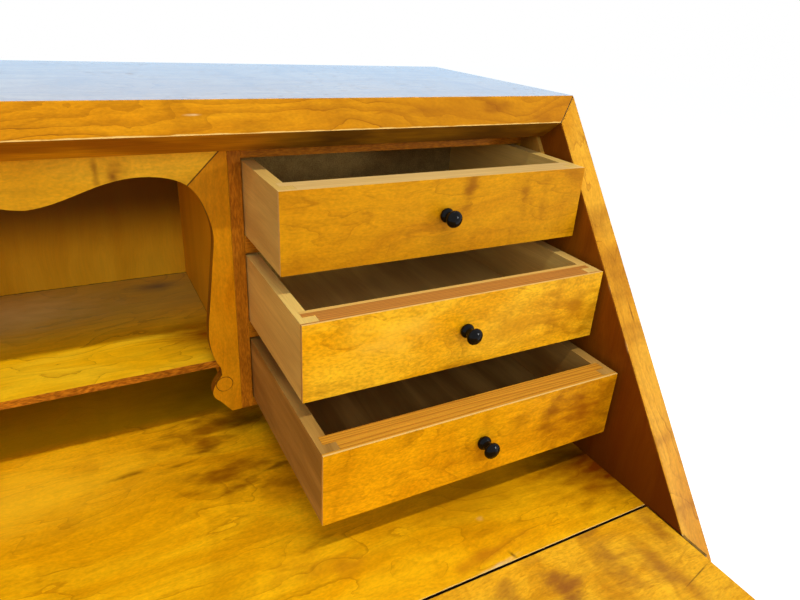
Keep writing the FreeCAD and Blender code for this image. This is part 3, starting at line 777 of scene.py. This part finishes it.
def camera():
    """Camera at the photograph's place, turned by its yaw, pitch and roll."""
    ahead = Vector((
        math.cos(camera_pitch) * math.sin(camera_yaw),
        math.cos(camera_pitch) * math.cos(camera_yaw),
        math.sin(camera_pitch),
    ))
    level = Vector((math.cos(camera_yaw), -math.sin(camera_yaw), 0))
    upward = level.cross(ahead)
    right = math.cos(camera_roll) * level + math.sin(camera_roll) * upward
    top = math.cos(camera_roll) * upward - math.sin(camera_roll) * level
    made = bpy.data.objects.new("camera", bpy.data.cameras.new("camera"))
    bpy.context.scene.collection.objects.link(made)
    turn = Matrix((right, top, -ahead)).transposed().to_4x4()
    made.matrix_world = Matrix.Translation(camera_place) @ turn
    made.data.sensor_fit = "HORIZONTAL"
    made.data.sensor_width = sensor_width
    made.data.lens = focal_pixels / photo_width * sensor_width
    made.data.clip_start = 0.01
    bpy.context.scene.camera = made


def softbox(name, place, aim, wide, high, watts, tint, mirrored=True):
    """Studio lamp at a place, facing the point it lights; mirrored in polish or not."""
    lamp = bpy.data.lights.new(name, "AREA")
    lamp.shape = "RECTANGLE"
    lamp.size = wide
    lamp.size_y = high
    lamp.energy = watts
    lamp.color = colour(tint)[:3]
    made = bpy.data.objects.new(name, lamp)
    made.location = place
    made.rotation_euler = (Vector(aim) - Vector(place)).to_track_quat("-Z", "Y").to_euler()
    made.visible_camera = False
    made.visible_glossy = mirrored
    bpy.context.scene.collection.objects.link(made)


def seen_directly(tree):
    """1 for what the camera, a reflection or a view through glass sees."""
    path = add(tree, "ShaderNodeLightPath").node.outputs
    seen = add(
        tree, "ShaderNodeMath", {0: path["Is Camera Ray"], 1: path["Is Glossy Ray"]},
        operation="ADD",
    )
    return add(
        tree, "ShaderNodeMath", {0: seen, 1: path["Is Transmission Ray"]},
        operation="ADD", use_clamp=True,
    )


def stage_panel(name, corners, shader):
    """A flat piece of the stage with its own shader; gives its object."""
    mesh = bpy.data.meshes.new(name)
    mesh.from_pydata(corners, [], [(0, 1, 2, 3)])
    panel = bpy.data.objects.new(name, mesh)
    bpy.context.scene.collection.objects.link(panel)
    material, tree, _, _ = begin(name)
    add(tree, "ShaderNodeOutputMaterial", {"Surface": shader(tree)})
    mesh.materials.append(material)
    return panel


def painted_floor(tree):
    """Matt pale paint that looks white, and still takes the desk's shadow."""
    whitening = 0.7
    matt = add(tree, "ShaderNodeBsdfDiffuse", {"Color": colour("#E9E6E1")})
    strength = add(
        tree, "ShaderNodeMath", {0: seen_directly(tree), 1: whitening}, operation="MULTIPLY",
    )
    glow = add(tree, "ShaderNodeEmission", {"Color": colour("#FFFFFF"), "Strength": strength})
    return add(tree, "ShaderNodeAddShader", {0: matt, 1: glow})


def cool_paper(tree):
    """Backdrop that only polished surfaces mirror."""
    return add(tree, "ShaderNodeEmission", {"Color": colour("#A6D8FF"), "Strength": 1.5})


def studio():
    """Pale floor, white surroundings and soft lamps."""
    world = bpy.data.worlds.new("studio")
    bpy.context.scene.world = world
    world.use_nodes = True
    tree = world.node_tree
    tree.nodes.clear()
    shade = add(
        tree, "ShaderNodeMix",
        {0: seen_directly(tree), 6: colour("#A2AAB6"), 7: colour("#FFFFFF")}, out=2,
        data_type="RGBA",
    )
    sky = add(tree, "ShaderNodeBackground", {"Color": shade, "Strength": 1.0})
    add(tree, "ShaderNodeOutputWorld", {"Surface": sky})

    reach = 12.0
    ground = [(-reach, -reach, 0), (reach, -reach, 0), (reach, reach, 0), (-reach, reach, 0)]
    stage_panel("floor", ground, painted_floor)
    half, low, high, back = 4.0, 0.9, 4.0, 3.0
    sheet = [(-half, back, low), (half, back, low), (half, back, high), (-half, back, high)]
    backdrop = stage_panel("backdrop", sheet, cool_paper)
    backdrop.visible_camera = False
    backdrop.visible_diffuse = False
    backdrop.visible_shadow = False

    aim = Vector((0.2, 0.05, 0.82))
    strip_x = 0.38
    softbox(
        "ceiling strip", (strip_x, -0.85, 2.75), (strip_x, aim.y, aim.z),
        wide=1.8, high=0.05, watts=29, tint="#FFFFFF", mirrored=False,
    )
    softbox("window", (1.55, -1.48, 1.35), aim, wide=0.3, high=0.3, watts=11, tint="#FFFFFF")
    softbox(
        "front fill", (-0.7, -2.1, 2.2), aim,
        wide=1.8, high=1.6, watts=28, tint="#CCDEFF", mirrored=False,
    )


camera()
studio()
bpy.context.scene.view_settings.view_transform = "Standard"
